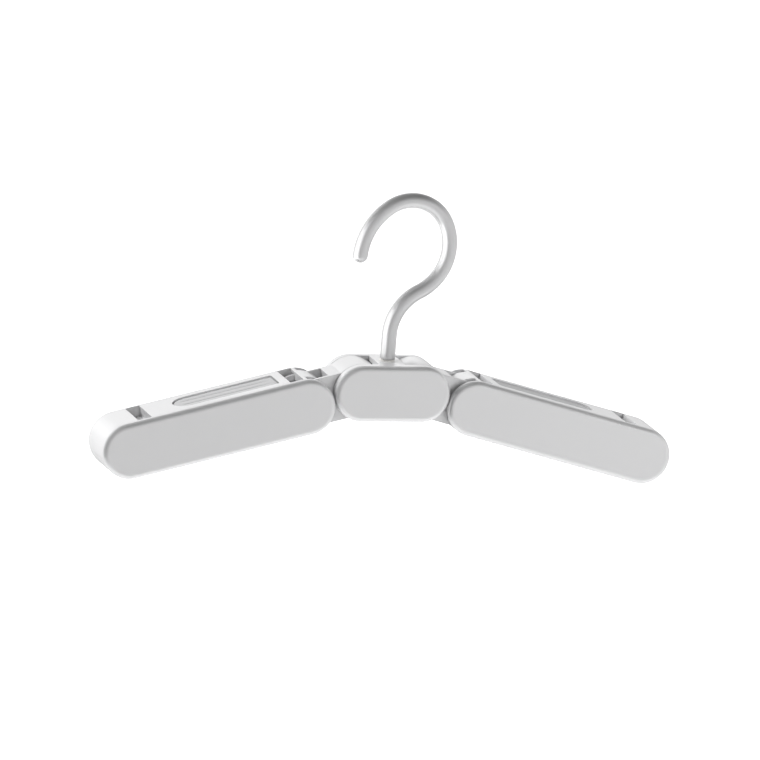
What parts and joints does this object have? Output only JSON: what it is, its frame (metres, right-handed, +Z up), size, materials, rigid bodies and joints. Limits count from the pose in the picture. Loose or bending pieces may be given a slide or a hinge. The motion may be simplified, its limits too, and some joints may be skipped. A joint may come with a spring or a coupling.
{
  "type": "folding travel hanger",
  "caption": "Folding travel hanger with a swivel hook, a flat centre section and two jointed arms with ribbed grip strips.",
  "frame": {"origin": "on the stem's axis, on the inner face of the hook, where a rail carries it", "axes": "+Z up along the stem, +X towards the right arm seen from the front, the front faces -Y"},
  "size_m": [0.353, 0.038, 0.1726],
  "materials": {
    "shell_plastic": "fine satin moulding",
    "hook_plastic": "smooth satin",
    "grip_rubber": "soft ribbed",
    "washer_nylon": "plain",
    "hinge_steel": "turned"
  },
  "bodies": {
    "hook": {"hook": "hook_plastic"},
    "centre": {"hook_block_front": "shell_plastic", "hook_block_back": "shell_plastic", "centre_front_plate": "shell_plastic", "centre_back_plate": "shell_plastic", "swivel_washer": "washer_nylon", "centre_washers": "washer_nylon", "centre_hinge_barrels": "hinge_steel", "centre_screws": "hinge_steel"},
    "left_link": {"left_link": "shell_plastic"},
    "left_arm": {"left_arm_core": "shell_plastic", "left_arm_front_plate": "shell_plastic", "left_arm_back_plate": "shell_plastic", "left_arm_barrel": "hinge_steel", "left_arm_washers": "washer_nylon", "left_arm_screws": "hinge_steel", "left_grip_strip": "grip_rubber"},
    "right_link": {"right_link": "shell_plastic"},
    "right_arm": {"right_arm_core": "shell_plastic", "right_arm_front_plate": "shell_plastic", "right_arm_back_plate": "shell_plastic", "right_arm_barrel": "hinge_steel", "right_arm_washers": "washer_nylon", "right_arm_screws": "hinge_steel", "right_grip_strip": "grip_rubber"}
  },
  "joints": [
    {"name": "hook_swivel", "type": "hinge", "parent": "hook", "child": "centre", "pos_m": [0, 0, -0.10815], "axis": [0, 0, 1], "continuous": true},
    {"name": "left_link_fold", "type": "hinge", "parent": "centre", "child": "left_link", "pos_m": [-0.0186, 0, -0.10815], "axis": [0, -1, 0], "range_deg": [0, 75.5]},
    {"name": "left_arm_tilt", "type": "hinge", "parent": "left_link", "child": "left_arm", "pos_m": [-0.0521, 0, -0.11681], "axis": [0, 1, 0], "range_deg": [0, 14.5]},
    {"name": "right_link_fold", "type": "hinge", "parent": "centre", "child": "right_link", "pos_m": [0.0186, 0, -0.10815], "axis": [0, 1, 0], "range_deg": [0, 75.5]},
    {"name": "right_arm_tilt", "type": "hinge", "parent": "right_link", "child": "right_arm", "pos_m": [0.0521, 0, -0.11681], "axis": [0, -1, 0], "range_deg": [0, 14.5]}
  ]
}
